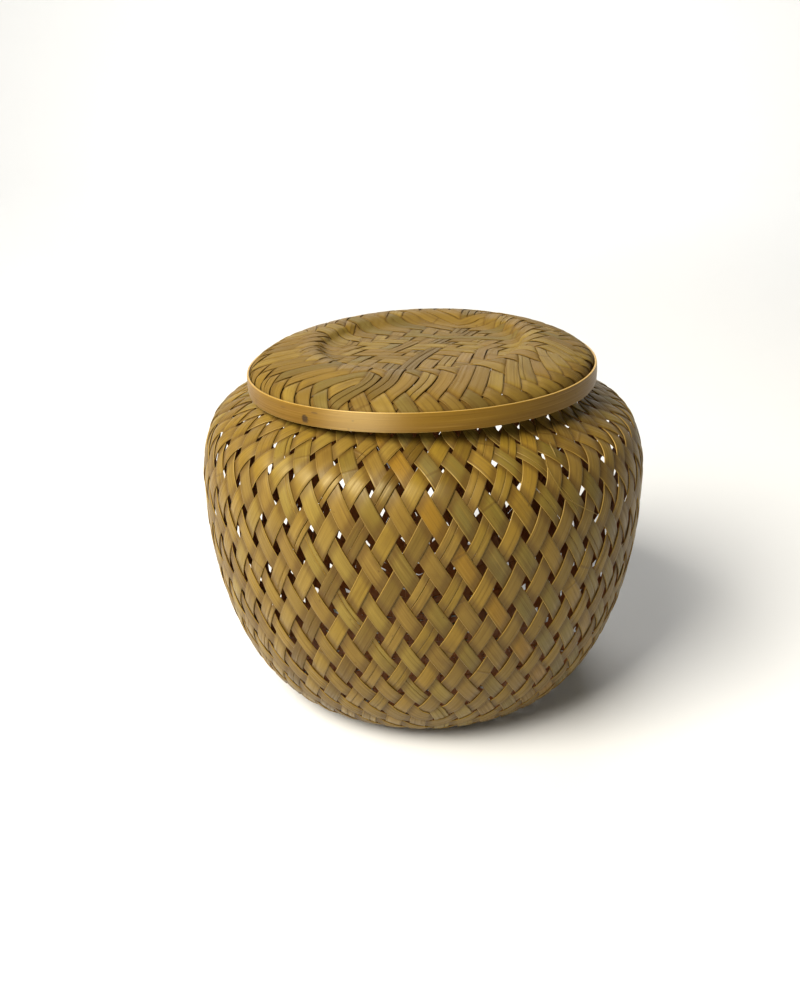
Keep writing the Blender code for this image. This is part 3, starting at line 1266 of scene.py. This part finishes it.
@dataclass(kw_only=True)
class Body(Plait):
    """The open plaited body, from the base to the collar: 26 warp and 26 weft splints.

    Attributes:
        tones: The splints' tones in their order, from the first one of each side.
    """

    tones: dict[Side, tuple[Tone, ...]]

    def pieces(self, finish: bpy.types.Material) -> Iterator[Piece]:
        """The 52 splints, each of which stands for its own CAD node.

        Args:
            finish: The splints' material.

        Yields:
            The pieces.
        """
        rng = np.random.default_rng(self.seed)
        for side in Side:
            for count, tone in enumerate(self.tones[side], 1):
                node = f"{side.value}_splint_{count:02d}"
                strips = self.splint(count - self.mat.half - 0.5, side, tone.shaded(rng))
                yield Piece(f"woven_{node}", strips, finish, "box_body", "body_splints", (node,))


# The lid


@dataclass(frozen=True)
class Ledge:
    """The sharp step around the lid's sunken middle, which is deep in some places and fades between.

    Attributes:
        depth: How far the middle lies below the ring at its deepest place.
        foot: The radius at which the step ends, towards the middle.
        top: The radius at which it starts.
        deepest: Its deepest places: their angles, and the share of the depth that it has there.
        fade: The step fades by the cosine of this many times the angle from there.
    """

    depth: float = 0.0009
    foot: float = 0.0474
    top: float = 0.0486
    deepest: tuple[tuple[float, float], ...] = ((math.radians(140.0), 1.0), (math.radians(25.0), 0.6))
    fade: float = 1.6

    def drop(self, x: Floats, y: Floats) -> Floats:
        """How far it lowers the lid.

        It is depth * s((top - r) / (top - foot)) * s(r / foot), where s is the smooth step, times the
        largest of share * cos(fade * (a - angle)), or zero where all of them are below it. The angle
        a goes from minus to plus half a turn, so that the cosine of the first place comes round once
        more at the front.

        Args:
            x: Places to the right.
            y: Places to the back.

        Returns:
            The drops.
        """
        radius, turn = np.hypot(x, y), np.arctan2(y, x)
        step = smooth_step((self.top - radius) / (self.top - self.foot)) * smooth_step(radius / self.foot)
        shares = [share * np.cos(self.fade * (turn - angle)) for angle, share in self.deepest]
        return self.depth * step * np.maximum(np.max(shares, axis=0), 0.0)


@dataclass(frozen=True)
class LongFloat:
    """A stretch on which one splint of the weft lies on top of all that it crosses.

    Attributes:
        number: The splint's place in the mat.
        first: The place along it after which the stretch starts.
        last: The place before which it ends.
    """

    number: float
    first: float
    last: float


@dataclass(kw_only=True)
class Lid(Plait):
    """The close plaited lid, which lies a little askew on the collar.

    Its middle is plaited in concentric diamonds, over two and under two, and its dome in rings of
    chevrons: rows in which all the splints that lean one way lie on top.

    Attributes:
        tilt: How far the lid is cocked about the front-to-back line.
        seat: The height of the tilt's centre.
        shift: How far it lies to the right of the box's middle.
        warp: How far its hoop sinks at the sides and rises at the front and the back.
        reach: The radius at which the warp is measured.
        ledge: The step around its sunken middle.
        diamond: Crossings from one diamond to the next.
        last_diamond: The ring at which the diamonds end.
        chevron: The first and last ring of the splints that climb one way on the dome.
        slips: The share of the crossings at which the weaver took the wrong splint up.
        brown_float: The long float of the brown splint.
        usual: The splints' tones, each with its share.
        marked: Splints whose tone stands out in the photograph, by side and number.
    """

    tilt: float = math.radians(2.1)
    seat: float = 0.1636
    shift: float = -0.0008
    warp: float = 0.0010
    reach: float = 0.0848
    ledge: Ledge = Ledge()
    diamond: int = 4
    last_diamond: int = 9
    chevron: tuple[int, int] = (12, 14)
    slips: float = 0.07
    brown_float: LongFloat = LongFloat(number=1.5, first=-12.0, last=-2.0)
    usual: tuple[tuple[Tone, float], ...] = (
        (Tone.STRAW, 0.22),
        (Tone.HONEY, 0.16),
        (Tone.TAN, 0.42),
        (Tone.GREY, 0.20),
    )
    marked: dict[tuple[Side, int], Tone]

    @cached_property
    def slipped(self) -> Flags:
        """Which crossings are slips, in a table three mats wide, whose middle is the lid's."""
        size = 3 * 2 * self.mat.half
        return np.random.default_rng(self.seed).random((size, size)) < self.slips

    def over(self, x: Floats, y: Floats) -> Flags:
        """Whether the warp lies outside at a crossing of the lid.

        With ring = |x| + |y|, the middle goes by ring modulo 4. On the dome, the splints that climb
        one way lie on top over rings 12 to 14, and those that climb the other way over the rings on
        either side. A slip turns a crossing round. The brown splint of the weft lies on top all the
        way along its float.

        Args:
            x: The crossings' places along the warp.
            y: Their places along the weft.

        Returns:
            True where the warp lies outside.
        """
        ring = np.round(np.abs(x) + np.abs(y))
        diamonds = ring % self.diamond < self.diamond / 2
        left_up = (ring >= self.chevron[0]) & (ring <= self.chevron[1])
        warp_leans_left = x * y > 0
        chevrons = np.where(warp_leans_left, left_up, ~left_up)
        middle = len(self.slipped) // 2
        slip = self.slipped[np.floor(x).astype(int) + middle, np.floor(y).astype(int) + middle]
        brown = self.brown_float
        floating = np.isclose(x, brown.number) & (y > brown.first) & (y < brown.last)
        return (np.where(ring <= self.last_diamond, diamonds, chevrons) ^ slip) & ~floating

    def cocked(self, strip: Strip) -> Strip:
        """A strip of the upright lid as the lid lies: stepped, warped and tilted.

        The ledge lowers what is above the seat. The warp, a shallow saddle, lowers each height by
        warp * (x^2 - y^2) * (x^2 + y^2) / reach^4. The tilt t about the level line from front to back
        then gives (x cos t - z sin t, y, x sin t + z cos t), with z measured from the seat.

        Args:
            strip: The strip on the upright lid.

        Returns:
            The strip in its place.
        """
        x, y, z = np.moveaxis(strip.points, -1, 0)
        saddle = self.warp * (x**2 - y**2) * (x**2 + y**2) / self.reach**4
        z = z - self.seat - saddle - np.where(z > self.seat, self.ledge.drop(x, y), 0.0)
        cos, sin = math.cos(self.tilt), math.sin(self.tilt)
        laid = np.stack([x * cos - z * sin + self.shift, y, x * sin + z * cos + self.seat], axis=-1)
        return replace(strip, points=laid)

    def pieces(self, finish: bpy.types.Material) -> Iterator[Piece]:
        """The lid's splints, the warp as one piece and the weft as another.

        Args:
            finish: The splints' material.

        Yields:
            The pieces.
        """
        rng = np.random.default_rng(self.seed)
        tones, shares = zip(*self.usual)
        for side in Side:
            strips: list[Strip] = []
            for count in range(1, 2 * self.mat.half + 1):
                drawn = tones[int(rng.choice(len(tones), p=shares))]
                tone = self.marked.get((side, count), drawn)
                strips += self.splint(count - self.mat.half - 0.5, side, tone.shaded(rng))
            laid = [self.cocked(strip) for strip in strips]
            yield Piece(f"lid_{side.value}_splints", laid, finish, "lid", "lid_splints", ("lid_plait",))


# Hoops and loose fibres


@dataclass(frozen=True)
class Hoop:
    """A bent bamboo strip, closed by a scarf: its two ends are shaved thin and lie on each other.

    Attributes:
        inner: Inner radius.
        outer: Outer radius.
        foot: Height of its lower edge.
        top: Height of its upper edge.
        joint: The angle at which its inner end starts.
        scarf: The angle over which its ends overlap.
        shaved: The share of its thickness that its ends keep.
        crown: How far the edges of its outer face lie behind the middle.
        trim: The share of its height that is left after its edges were rubbed down.
        wave: How its edges wave up and down, in metres, with its period as an angle.
        roundness: How round its section is, from 0, a rectangle, to 1, an ellipse.
        stations: Stations along it.
        ring: Points around its section.
        seed: The number that its chance starts from.
    """

    inner: float
    outer: float
    foot: float
    top: float
    joint: float = math.radians(62.0)
    scarf: float = math.radians(17.0)
    shaved: float = 0.04
    crown: float = 0.00025
    trim: float = 0.988
    wave: Wave = Wave(strength=0.00006, period=1.1)
    roundness: float = 0.22
    stations: int = 420
    ring: int = 24
    seed: int = 5

    def strip(self) -> Strip:
        """The hoop as one strip, which goes once round and then over its own beginning.

        At the angle a from its start, the outer face is at inner + thickness * min(a / scarf, 1), and
        past a full turn the inner face leaves inner in the same way. Its section is a superellipse,
        whose outer face falls off by crown * u^2 towards its edges, with u from -1 to 1.

        Returns:
            The strip, in its own upright place.
        """
        angle = np.linspace(0.0, math.tau + self.scarf, self.stations)[:, None]
        begun = np.clip(angle / self.scarf, self.shaved, 1.0)
        overlap = np.clip((angle - math.tau) / self.scarf, 0.0, 1.0 - self.shaved)
        thickness = self.outer - self.inner
        low, high = self.inner + thickness * overlap, self.inner + thickness * begun
        across, up = superellipse(self.ring, self.roundness)
        behind = self.crown * up**2 * np.clip(across, 0.0, 1.0)
        radius = (low + high) / 2 + (high - low) / 2 * across - behind
        wave = self.wave.values(angle[:, 0], np.random.default_rng(self.seed))[:, None]
        height = (self.top - self.foot) / 2 * self.trim * up + wave
        edge_starts = 0.9
        inner_face = hidden_share(across, gain=1.5) * (np.abs(up) < edge_starts)
        return Strip(
            points=turned(radius, self.joint + angle, (self.foot + self.top) / 2 + height),
            fibre=np.stack(np.broadcast_arrays(height, angle * self.outer), axis=-1),
            edge=np.broadcast_to(np.abs(up), radius.shape),
            under=np.broadcast_to(inner_face, radius.shape),
            sunk=np.zeros(radius.shape),
            tone=Tone.HONEY.value,
        )


@dataclass(frozen=True)
class LooseFibre:
    """A thin fibre that has come away from a splint and lies along the wall.

    Attributes:
        name: The piece's name.
        route: Angle round the box in degrees, height and clearance from the wall, point by point.
        width: Its width in the middle.
        tone: Its colour.
        flatness: Its thickness, as a share of its width.
        blunt: The square of the share of its width that its ends keep.
        weights: The weights by which neighbouring stations are averaged, to round the route's corners.
        samples: Stations for each point of the route.
        ring: Points around its section.
        roundness: How round its section is, from 0, a rectangle, to 1, an ellipse.
        cut_at: Where it is cut from the bamboo's streaks, in metres across them.
    """

    name: str
    route: tuple[tuple[float, float, float], ...]
    width: float
    tone: Tone = Tone.STRAW
    flatness: float = 0.6
    blunt: float = 0.02
    weights: tuple[float, ...] = (1.0, 2.0, 3.0, 4.0, 3.0, 2.0, 1.0)
    samples: int = 12
    ring: int = 8
    roundness: float = 0.8
    cut_at: float = 2.0

    def rounded(self, values: Floats) -> Floats:
        """Values of the route's points, drawn on to the stations with rounded corners.

        Args:
            values: One value for each point of the route.

        Returns:
            One value for each station.
        """
        points = np.arange(len(values))
        stations = np.linspace(0.0, points[-1], self.samples * len(values))
        straight = np.interp(stations, points, values)
        padded = np.pad(straight, len(self.weights) // 2, mode="reflect", reflect_type="odd")
        return np.convolve(padded, np.array(self.weights) / sum(self.weights), "valid")

    def strip(self, wall: RoundForm) -> Strip:
        """The fibre as a thin tapered strip on the wall.

        With t from 0 to 1 along it, its half width is width / 2 * sqrt(1 + blunt - (2t - 1)^2).

        Args:
            wall: The body's form.

        Returns:
            The strip.
        """
        angle, height, clear = (self.rounded(values) for values in np.array(self.route).T)
        curve, along = wall.curve
        spot = (np.radians(angle), np.interp(height, curve[:, 1], along))
        out = wall.outward(*spot)
        centre = wall.place(*spot) + out * clear[:, None]
        forward = np.gradient(centre, axis=0)
        forward /= np.linalg.norm(forward, axis=1, keepdims=True)
        aside = np.cross(out, forward)
        across, up = superellipse(self.ring, self.roundness)
        t = np.linspace(0.0, 1.0, len(centre))
        taper = np.clip(1 + self.blunt - (2 * t - 1) ** 2, self.blunt, 1.0)
        half = (self.width / 2 * np.sqrt(taper))[:, None]
        section = aside[:, None] * across[:, None] + self.flatness * out[:, None] * up[:, None]
        points = centre[:, None] + half[..., None] * section
        run = run_along(centre)[:, None]
        fibre = np.stack(np.broadcast_arrays(half * across + self.cut_at, run), axis=-1)
        flat = np.zeros(points.shape[:2])
        return Strip(points=points, fibre=fibre, edge=flat, under=flat, sunk=flat, tone=self.tone.value)


# The studio


@dataclass(frozen=True)
class Lamp:
    """A soft square light.

    Attributes:
        name: Its name.
        place: Where it is.
        target: What it faces.
        size: The length of its sides.
        power: Its power in watts.
        colour: Its colour.
    """

    name: str
    place: Place
    target: Place
    size: float
    power: float
    colour: Colour

    def build(self) -> None:
        """Hang it up and aim it."""
        data = bpy.data.lights.new(self.name, "AREA")
        data.shape = "SQUARE"
        data.size = self.size
        data.energy = self.power
        data.color = self.colour
        lamp = bpy.data.objects.new(self.name, data)
        lamp.location = self.place
        aim = np.array(self.target) - np.array(self.place)
        level = math.hypot(aim[0], aim[1])
        heading = math.atan2(aim[1], aim[0]) - RIGHT_ANGLE
        lamp.rotation_euler = (math.atan2(level, -aim[2]), 0.0, heading)
        bpy.context.scene.collection.objects.link(lamp)


@dataclass(frozen=True)
class Studio:
    """The floor, the lights and the camera.

    Attributes:
        elevation: The camera's height above the horizon, as an angle.
        target: The height of the point that it looks at.
        distance: How far it is from there.
        lens: Its focal length, in millimetres.
        film: The long side of its picture, in millimetres.
        shift: Where the picture's frame lies against the lens's axis, as shares of the long side.
        floor_rings: The radii of the rings on the floor's flat part.
        floor_reach: The radius at which it starts to turn up.
        floor_bend: The radius of that bend.
        floor_slope: How far it turns up.
        bend_rings: How many rings the bend has.
        wall_radius: The radius of the wall's top edge.
        wall_top: Its height.
        floor_sides: How many sides the round floor has.
        paper: The floor's colour.
        paper_rough: Its roughness.
        lamps: The lights.
        air: The colour of the light from all round.
        air_strength: How strong it is.
    """

    elevation: float = math.radians(24.79)
    target: float = 0.0845
    distance: float = 0.528
    lens: float = 36.36
    film: float = 36.0
    shift: tuple[float, float] = (-0.0234, 0.0131)
    floor_rings: tuple[float, float] = (0.6, 1.4)
    floor_reach: float = 2.2
    floor_bend: float = 0.8
    floor_slope: float = math.radians(88.0)
    bend_rings: int = 14
    wall_radius: float = 3.05
    wall_top: float = 2.4
    floor_sides: int = 96
    paper: Colour = (0.66, 0.66, 0.65)
    paper_rough: float = 0.9
    lamps: tuple[Lamp, ...] = (
        Lamp(
            name="key_light",
            place=(-0.88, -0.76, 1.28),
            target=(0.0, 0.0, 0.08),
            size=1.0,
            power=70.0,
            colour=(1.0, 0.96, 0.88),
        ),
        Lamp(
            name="backdrop_light",
            place=(0.0, 2.2, 1.8),
            target=(0.0, 2.0, 0.1),
            size=1.8,
            power=52.0,
            colour=(1.0, 1.0, 1.0),
        ),
    )
    air: Colour = (1.0, 0.98, 0.95)
    air_strength: float = 0.03

    def camera(self) -> None:
        """The camera at the photograph's angle, in front of the box and above it."""
        data = bpy.data.cameras.new("camera")
        data.lens = self.lens
        data.sensor_width = self.film
        data.shift_x, data.shift_y = self.shift
        data.clip_start = 0.01
        camera = bpy.data.objects.new("camera", data)
        back = math.cos(self.elevation) * self.distance
        camera.location = (0.0, -back, self.target + math.sin(self.elevation) * self.distance)
        camera.rotation_euler = (RIGHT_ANGLE - self.elevation, 0.0, 0.0)
        bpy.context.scene.collection.objects.link(camera)
        bpy.context.scene.camera = camera

    def floor(self) -> None:
        """A pale floor that turns up into a wall all round.

        Along the bend, where a goes from 0 to the slope, r = reach + bend sin a and z = bend (1 - cos a).
        """
        bend = np.linspace(0.0, self.floor_slope, self.bend_rings)
        rising = self.floor_reach + self.floor_bend * np.sin(bend)
        radius = np.array([*self.floor_rings, *rising, self.wall_radius])[:, None]
        height = np.array([0.0, 0.0, *self.floor_bend * (1 - np.cos(bend)), self.wall_top])[:, None]
        turn = np.linspace(0.0, math.tau, self.floor_sides, endpoint=False)
        vertices = np.vstack([np.zeros((1, 3)), turned(radius, turn, height).reshape(-1, 3)])
        quads = 1 + quads_between(len(radius), self.floor_sides)[:, [0, 3, 2, 1]]
        around = 1 + np.arange(self.floor_sides)
        fan = np.stack([np.zeros(self.floor_sides, int), around, np.roll(around, -1)], axis=-1)
        mesh = bpy.data.meshes.new("studio_floor")
        mesh.from_pydata(vertices.tolist(), [], fan.tolist() + quads.tolist())
        mesh.polygons.foreach_set("use_smooth", np.ones(len(mesh.polygons), bool))
        web = Web("pale_paper")
        web.skin((*self.paper, 1.0), self.paper_rough)
        mesh.materials.append(web.material)
        floor = bpy.data.objects.new("studio_floor", mesh)
        bpy.context.scene.collection.objects.link(floor)
        floor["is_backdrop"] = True

    def build(self) -> None:
        """Set up everything round the box."""
        self.camera()
        self.floor()
        for lamp in self.lamps:
            lamp.build()
        world = bpy.data.worlds.new("studio_air")
        world.use_nodes = True
        background = world.node_tree.nodes["Background"]
        background.inputs["Color"].default_value = (*self.air, 1.0)
        background.inputs["Strength"].default_value = self.air_strength
        bpy.context.scene.world = world
        bpy.context.scene.view_settings.view_transform = "Standard"


# The measures of this box

# Section of the body's wall, from the middle of the flat base to the top of the collar
WALL_SECTION = (
    (0.0, 0.0),
    (0.0582, 0.0),
    (0.0703, 0.0020),
    (0.0795, 0.0062),
    (0.0896, 0.0181),
    (0.1003, 0.0424),
    (0.1071, 0.0728),
    (0.1092, 0.1029),
    (0.1076, 0.1271),
    (0.1015, 0.1417),
    (0.0872, 0.1504),
    (0.0800, 0.1536),
    (0.0753, 0.1584),
    (0.0753, 0.1666),
)

# Section of the lid's plait: the sunken middle, the raised ring, the dome and the skirt
LID_SECTION = (
    (0.0, 0.1730),
    (0.0400, 0.1730),
    (0.0446, 0.1734),
    (0.0474, 0.1747),
    (0.0498, 0.1764),
    (0.0532, 0.1773),
    (0.0590, 0.1772),
    (0.0660, 0.1754),
    (0.0742, 0.1730),
    (0.0792, 0.1708),
    (0.0817, 0.1689),
    (0.0826, 0.1666),
    (0.0826, 0.1607),
)

# How far below the top of the collar the splints come in between its hoops
NECK_DEPTH = 0.0082


def tones(names: str) -> tuple[Tone, ...]:
    """The tones with these names, in the same order."""
    return tuple(Tone[name.upper()] for name in names.split())


# Tones of the body's splints as the photograph shows them; the hidden ones are like their neighbours
BODY_TONES = {
    Side.WARP: tones(
        "tan tan honey honey tan tan straw tan honey tan tan straw tan "
        "tan honey tan straw tan olive tan tan honey tan tan straw tan"
    ),
    Side.WEFT: tones(
        "honey honey straw tan tan straw brown honey brown tan honey honey tan "
        "straw straw tan olive tan orange grey olive honey olive olive olive brown"
    ),
}

# Brown marks on the lid's hoop, left of its front
HOOP_MARKS = (
    Blemish(along=0.2541, up=-0.0014, length=0.0048, height=0.0046, depth=1.0),
    Blemish(along=0.2597, up=0.0021, length=0.0046, height=0.0010, depth=0.65),
    Blemish(along=0.2786, up=0.0005, length=0.0014, height=0.0009, depth=0.55),
    Blemish(along=0.2762, up=-0.0034, length=0.0016, height=0.0010, depth=0.45),
    Blemish(along=0.2136, up=-0.0017, length=0.0034, height=0.0030, depth=0.25),
    Blemish(along=0.2404, up=0.0016, length=0.0044, height=0.0014, depth=0.30),
)

# The hoops by the CAD node that each stands for: two on the collar and two on the lid
COLLAR_HOOPS = {
    "rim_inner_hoop": Hoop(inner=0.0720, outer=0.0735, foot=0.1608, top=0.1660),
    "rim_outer_hoop": Hoop(inner=0.0778, outer=0.0791, foot=0.1608, top=0.1660, joint=math.radians(100.0)),
}
LID_HOOPS = {
    "lid_inner_hoop": Hoop(inner=0.0804, outer=0.0816, foot=0.1622, top=0.1668, joint=math.radians(120.0)),
    "lid_outer_hoop": Hoop(inner=0.0835, outer=0.0848, foot=0.1592, top=0.1680),
}

# A pale fibre that curls down the right of the front, and a splinter above it
LOOSE_FIBRES = (
    LooseFibre(
        name="loose_fibre",
        route=(
            (302.2, 0.1472, 0.0004),
            (301.1, 0.1451, 0.0016),
            (301.2, 0.1420, 0.0020),
            (302.1, 0.1378, 0.0022),
            (303.4, 0.1333, 0.0022),
            (305.3, 0.1305, 0.0020),
            (308.6, 0.1262, 0.0020),
            (311.6, 0.1227, 0.0022),
            (314.0, 0.1199, 0.0016),
        ),
        width=0.00050,
    ),
    LooseFibre(
        name="loose_splinter",
        route=((306.9, 0.1503, 0.0018), (306.0, 0.1492, 0.0022), (305.3, 0.1463, 0.0014)),
        width=0.00070,
    ),
)


def make_body(wall: RoundForm) -> Body:
    """The body's plait.

    Args:
        wall: Its form.

    Returns:
        The body.
    """
    mat = Mat(
        form=wall,
        pitch=0.00784,
        lean_at_edge=math.radians(57.0),
        lean_on_wall=math.radians(60.8),
        rows_to_full_lean=3.0,
        turn=math.radians(1.9),
        twist_per_row=math.radians(-0.35),
    )
    return Body(
        mat=mat,
        width=0.0073,
        thickness=0.00045,
        rise=0.00038,
        widest=0.90,
        spring=0.8,
        end_gap=0.0006,
        narrow_rows=(13.0, 14.0, mat.row_below_end(NECK_DEPTH)),
        narrow_shares=(1.0, 0.80, 0.42),
        seed=7,
        tones=BODY_TONES,
    )


def make_lid() -> Lid:
    """The lid's plait.

    Returns:
        The lid.
    """
    mat = Mat(
        form=RoundForm(LID_SECTION, facing=-1.0),
        pitch=0.00523,
        lean_at_edge=math.radians(56.0),
        lean_on_wall=math.radians(56.0),
        rows_to_full_lean=1.0,
        turn=math.radians(-22.5),
        axes=(math.radians(12.5), math.radians(77.5)),
    )
    return Lid(
        mat=mat,
        width=0.0072,
        thickness=0.00045,
        rise=0.00045,
        widest=0.965,
        spring=0.7,
        end_gap=0.0004,
        narrow_rows=(2.6, 3.2),
        narrow_shares=(1.0, 0.8),
        wander=Wave(strength=0.02, period=7.0),
        uneven=0.035,
        split_share=0.25,
        seed=11,
        marked={(Side.WEFT, 15): Tone.BROWN},
    )


def main() -> None:
    """Dress the box, piece by piece."""
    cad_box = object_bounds()
    Studio().build()

    body_splint = SplintFinish("split_bamboo", streak=0.7, roughness=0.45, sheen=0.38).material()
    lid_splint = SplintFinish(
        "aged_split_bamboo",
        streak=0.75,
        roughness=0.56,
        sheen=0.1,
        age=0.35,
        bare_edge_and_highlight=0.2,
        hidden=linear(116, 86, 44),
        pale=linear(146, 117, 56),
        dull=linear(94, 74, 34),
    ).material()
    collar_skin = HoopFinish("bamboo_hoop_plain", roughness=0.5, sheen=0.4, polish=1.5).material()
    lid_skin = HoopFinish("bamboo_hoop_polished", marks=HOOP_MARKS).material()

    wall = RoundForm(WALL_SECTION, lift=0.00085)
    lid = make_lid()
    pieces = list(make_body(wall).pieces(body_splint))
    for fibre in LOOSE_FIBRES:
        pieces.append(Piece(fibre.name, [fibre.strip(wall)], body_splint, "box_body", "body_splints"))
    pieces += lid.pieces(lid_splint)
    for node, hoop in COLLAR_HOOPS.items():
        pieces.append(Piece(f"bent_{node}", [hoop.strip()], collar_skin, "box_body", "rim_hoops", (node,)))
    for node, hoop in LID_HOOPS.items():
        strip = lid.cocked(hoop.strip())
        pieces.append(Piece(f"bent_{node}", [strip], lid_skin, "lid", "lid_hoop", (node,)))
    for piece in pieces:
        faces = piece.add()
        log.info("%s: %d faces", piece.name, faces)

    [[list(corner) for corner in box] for box in (cad_box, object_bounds())]


if __name__ == "__main__":
    main()
